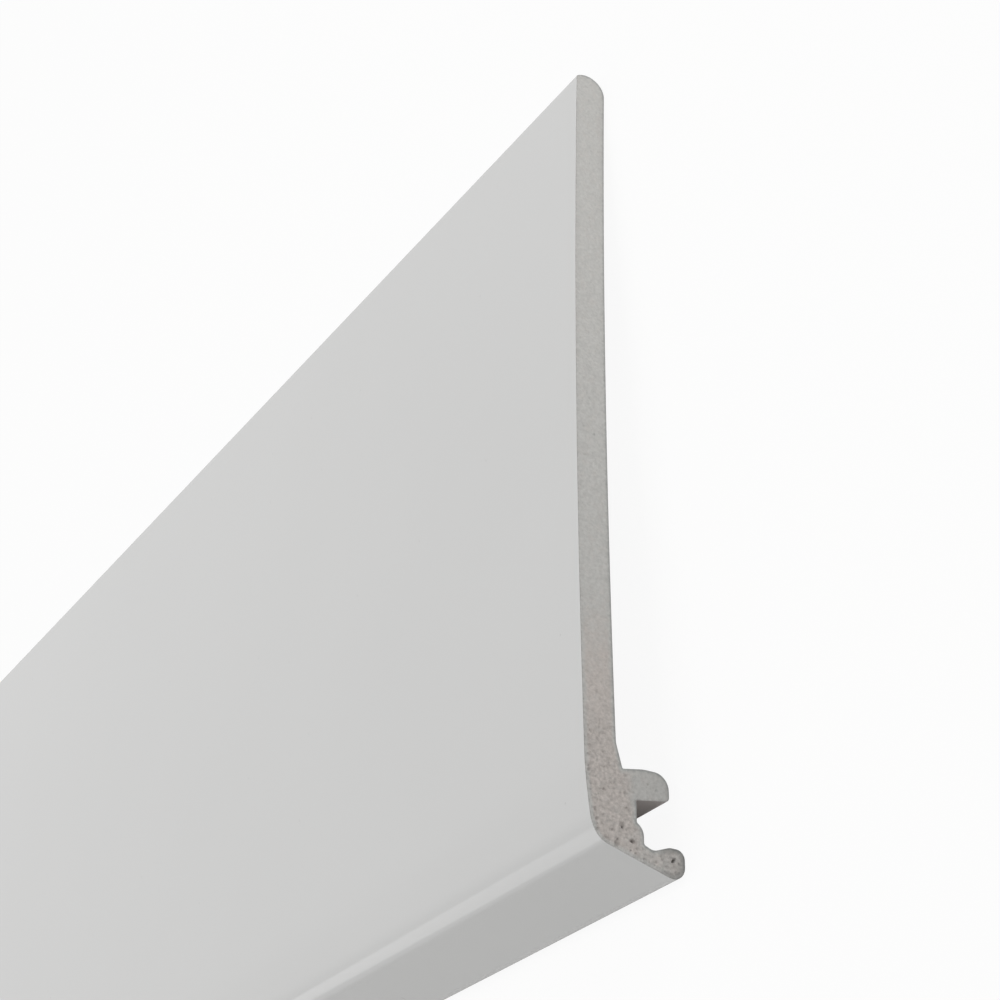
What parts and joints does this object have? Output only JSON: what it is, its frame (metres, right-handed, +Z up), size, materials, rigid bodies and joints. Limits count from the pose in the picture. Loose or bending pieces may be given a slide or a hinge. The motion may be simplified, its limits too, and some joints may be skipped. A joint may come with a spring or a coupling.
{
  "type": "fascia board",
  "caption": "Length of white cellular PVC fascia board with a slightly bowed face, a rounded top edge, and a returned leg and lip that form a soffit groove.",
  "frame": {"origin": "middle of the board's bounding box, on the floor it lies on", "axes": "+X along the length, +Y from the leg towards the top edge, +Z up out of the face"},
  "size_m": [2.5, 0.2316, 0.0258],
  "materials": {
    "fascia_board": "satin white skin over a fine-celled foam that shows at the cut ends"
  },
  "bodies": {
    "root": {"fascia_board": "fascia_board"}
  },
  "joints": []
}
